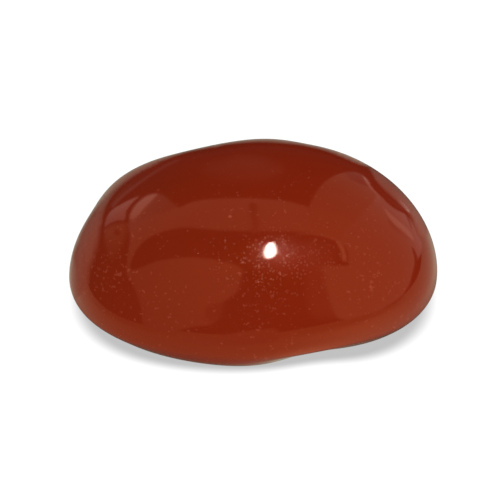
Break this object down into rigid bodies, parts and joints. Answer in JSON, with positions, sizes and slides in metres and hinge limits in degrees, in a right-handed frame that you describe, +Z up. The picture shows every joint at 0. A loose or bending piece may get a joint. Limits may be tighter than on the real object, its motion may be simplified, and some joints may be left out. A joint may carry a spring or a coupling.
{
  "type": "carnelian cabochon",
  "caption": "Polished domed stone of irregular oval outline, with a slight waist on its front edge and a flat base to rest on.",
  "frame": {"origin": "middle of the plan's box, on the flat base that the stone rests on", "axes": "+X along the stone towards its blunt right end, -Y towards the front edge with the waist, +Z up through the dome"},
  "size_m": [0.02, 0.014, 0.0078],
  "materials": {
    "carnelian": "deep red-brown carnelian, opaque to faintly translucent, polished to a high gloss with fine pale specks"
  },
  "bodies": {
    "root": {"carnelian": "carnelian"}
  },
  "joints": []
}
